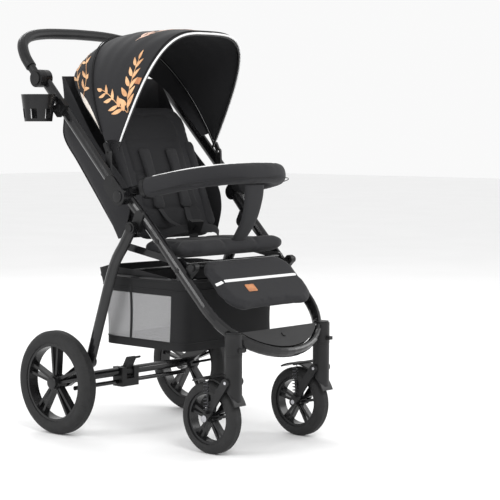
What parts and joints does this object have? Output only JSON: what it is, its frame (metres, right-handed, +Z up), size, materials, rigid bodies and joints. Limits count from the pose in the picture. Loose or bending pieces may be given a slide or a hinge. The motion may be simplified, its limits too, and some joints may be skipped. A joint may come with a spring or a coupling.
{
  "type": "folding baby stroller",
  "caption": "Folding stroller with reclining padded seat, folding hood, bumper bar, calf rest, basket, sprung swivelling front wheels and a footbrake.",
  "frame": {"origin": "on the ground, midway between the sides, 20 mm in front of the fold hinges", "axes": "+Z up, the front faces -Y, the child's left is +X"},
  "size_m": [0.623, 0.8399, 1.1155],
  "materials": {
    "frame": "satin black coat",
    "wire": "satin black coat",
    "plastic": "fine grain",
    "button": "gloss",
    "foam": "matte foam",
    "tyre": "matte",
    "fabric": "woven charcoal",
    "mesh": "open mesh",
    "steel": "brushed"
  },
  "bodies": {
    "front_frame": {"front_tube": "frame", "footplate": "plastic", "footplate_cap": "plastic", "swivel_housings": "plastic", "leg_brackets": "plastic", "pivot_pins": "steel", "seat_frame": "frame", "seat_pad": "fabric", "harness_buckle": "plastic", "harness_webbing": "fabric", "calf_brackets": "plastic", "basket": "mesh", "basket_rim": "wire"},
    "buckle_button": {"buckle_button": "button"},
    "calf_rest": {"calf_rest": "fabric"},
    "calf_button_left": {"calf_button_left": "plastic"},
    "calf_button_right": {"calf_button_right": "plastic"},
    "upper_frame": {"upper_tubes": "frame", "hinge_covers": "plastic", "hood_clips": "plastic", "mid_bow": "wire", "hood_rear": "fabric", "back_bag": "fabric", "cup_bracket": "plastic", "cup_holder": "plastic", "handle_pins": "steel"},
    "hood_front": {"front_bow": "wire", "hood_front": "fabric"},
    "backrest": {"backrest": "fabric", "shoulder_pads": "fabric"},
    "handle": {"handle_bar": "frame", "handle_grip": "foam"},
    "handle_button_left": {"handle_button_left": "plastic"},
    "handle_button_right": {"handle_button_right": "plastic"},
    "bumper_sockets": {"bumper_sockets": "plastic"},
    "bumper": {"bumper_bar": "fabric", "crotch_flap": "fabric"},
    "rear_frame": {"rear_legs": "frame", "rear_axle": "frame", "rear_stubs": "steel", "brake_housing": "plastic"},
    "brake_pedal": {"brake_pedal": "plastic"},
    "rear_wheel_left": {"rear_tyre_left": "tyre", "rear_rim_left": "plastic"},
    "fork_left": {"fork_left": "plastic", "springs_left": "steel"},
    "link_left": {"link_left": "plastic", "link_bolts_left": "steel"},
    "front_wheel_left": {"front_tyre_left": "tyre", "front_rim_left": "plastic"},
    "swivel_lock_left": {"swivel_lock_left": "plastic"},
    "rear_wheel_right": {"rear_tyre_right": "tyre", "rear_rim_right": "plastic"},
    "fork_right": {"fork_right": "plastic", "springs_right": "steel"},
    "link_right": {"link_right": "plastic", "link_bolts_right": "steel"},
    "front_wheel_right": {"front_tyre_right": "tyre", "front_rim_right": "plastic"},
    "swivel_lock_right": {"swivel_lock_right": "plastic"}
  },
  "joints": [
    {"name": "frame_fold", "type": "hinge", "parent": "front_frame", "child": "upper_frame", "pos_m": [0, 0.02, 0.647], "axis": [-1, 0, 0], "range_deg": [-165, 0], "deforming": ["back_bag", "mid_bow", "front_bow", "hood_rear", "hood_front", "backrest", "shoulder_pads", "crotch_flap"]},
    {"name": "rear_leg_fold", "type": "hinge", "parent": "front_frame", "child": "rear_frame", "pos_m": [0, -0.014, 0.566], "axis": [1, 0, 0], "range_deg": [-43, 0]},
    {"name": "bumper_swing", "type": "hinge", "parent": "front_frame", "child": "bumper_sockets", "pos_m": [0, -0.002, 0.663], "axis": [-1, 0, 0], "range_deg": [-31, 0]},
    {"name": "bumper_pull", "type": "slide", "parent": "bumper_sockets", "child": "bumper", "axis": [0, -0.9816, 0.1908], "range_m": [0, 0.05], "deforming": ["crotch_flap"]},
    {"name": "recline", "type": "hinge", "parent": "front_frame", "child": "backrest", "pos_m": [0, 0.038, 0.515], "axis": [-1, 0, 0], "range_deg": [0, 10]},
    {"name": "hood_fold", "type": "hinge", "parent": "upper_frame", "child": "hood_front", "pos_m": [0, 0.083, 0.759], "axis": [-1, 0, 0], "range_deg": [0, 50], "deforming": ["hood_front"]},
    {"name": "handle_tilt", "type": "hinge", "parent": "upper_frame", "child": "handle", "pos_m": [0, 0.32079, 0.95847], "axis": [1, 0, 0], "range_deg": [-45, 30]},
    {"name": "calf_tilt", "type": "hinge", "parent": "front_frame", "child": "calf_rest", "pos_m": [0, -0.202, 0.471], "axis": [-1, 0, 0], "range_deg": [0, 43]},
    {"name": "brake_press", "type": "hinge", "parent": "rear_frame", "child": "brake_pedal", "pos_m": [-0.022, 0.217, 0.148], "axis": [1, 0, 0], "range_deg": [0, 20]},
    {"name": "handle_button_left", "type": "slide", "parent": "handle", "child": "handle_button_left", "axis": [-1, 0, 0], "range_m": [0, 0.003], "stiffness_N_per_m": 400},
    {"name": "calf_button_left", "type": "slide", "parent": "front_frame", "child": "calf_button_left", "axis": [-1, 0, 0], "range_m": [0, 0.003], "stiffness_N_per_m": 400},
    {"name": "rear_spin_left", "type": "hinge", "parent": "rear_frame", "child": "rear_wheel_left", "pos_m": [0.261, 0.237, 0.14], "axis": [1, 0, 0], "continuous": true},
    {"name": "swivel_left", "type": "hinge", "parent": "front_frame", "child": "fork_left", "pos_m": [0.174, -0.3229, 0.2], "axis": [0, 0, 1], "continuous": true},
    {"name": "suspension_left", "type": "hinge", "parent": "fork_left", "child": "link_left", "pos_m": [0.174, -0.3199, 0.19], "axis": [1, 0, 0], "range_deg": [0, 3.5], "stiffness_Nm_per_rad": 16, "springref_deg": -17.19, "deforming": ["springs_left"]},
    {"name": "front_spin_left", "type": "hinge", "parent": "link_left", "child": "front_wheel_left", "pos_m": [0.174, -0.2499, 0.0925], "axis": [1, 0, 0], "continuous": true},
    {"name": "swivel_lock_left", "type": "slide", "parent": "front_frame", "child": "swivel_lock_left", "axis": [0, 0, -1], "range_m": [0, 0.006]},
    {"name": "handle_button_right", "type": "slide", "parent": "handle", "child": "handle_button_right", "axis": [1, 0, 0], "range_m": [0, 0.003], "stiffness_N_per_m": 400},
    {"name": "calf_button_right", "type": "slide", "parent": "front_frame", "child": "calf_button_right", "axis": [1, 0, 0], "range_m": [0, 0.003], "stiffness_N_per_m": 400},
    {"name": "rear_spin_right", "type": "hinge", "parent": "rear_frame", "child": "rear_wheel_right", "pos_m": [-0.261, 0.237, 0.14], "axis": [1, 0, 0], "continuous": true},
    {"name": "swivel_right", "type": "hinge", "parent": "front_frame", "child": "fork_right", "pos_m": [-0.174, -0.3229, 0.2], "axis": [0, 0, 1], "continuous": true},
    {"name": "suspension_right", "type": "hinge", "parent": "fork_right", "child": "link_right", "pos_m": [-0.174, -0.3199, 0.19], "axis": [1, 0, 0], "range_deg": [0, 3.5], "stiffness_Nm_per_rad": 16, "springref_deg": -17.19, "deforming": ["springs_right"]},
    {"name": "front_spin_right", "type": "hinge", "parent": "link_right", "child": "front_wheel_right", "pos_m": [-0.174, -0.2499, 0.0925], "axis": [1, 0, 0], "continuous": true},
    {"name": "swivel_lock_right", "type": "slide", "parent": "front_frame", "child": "swivel_lock_right", "axis": [0, 0, -1], "range_m": [0, 0.006]},
    {"name": "buckle_press", "type": "slide", "parent": "front_frame", "child": "buckle_button", "axis": [0, 0.9135, 0.4067], "range_m": [0, 0.0025], "stiffness_N_per_m": 400}
  ],
  "couplings": [
    {"joint": "rear_leg_fold", "follows": "frame_fold", "ratio": 0.26061},
    {"joint": "bumper_swing", "follows": "frame_fold", "ratio": 0.18788}
  ]
}
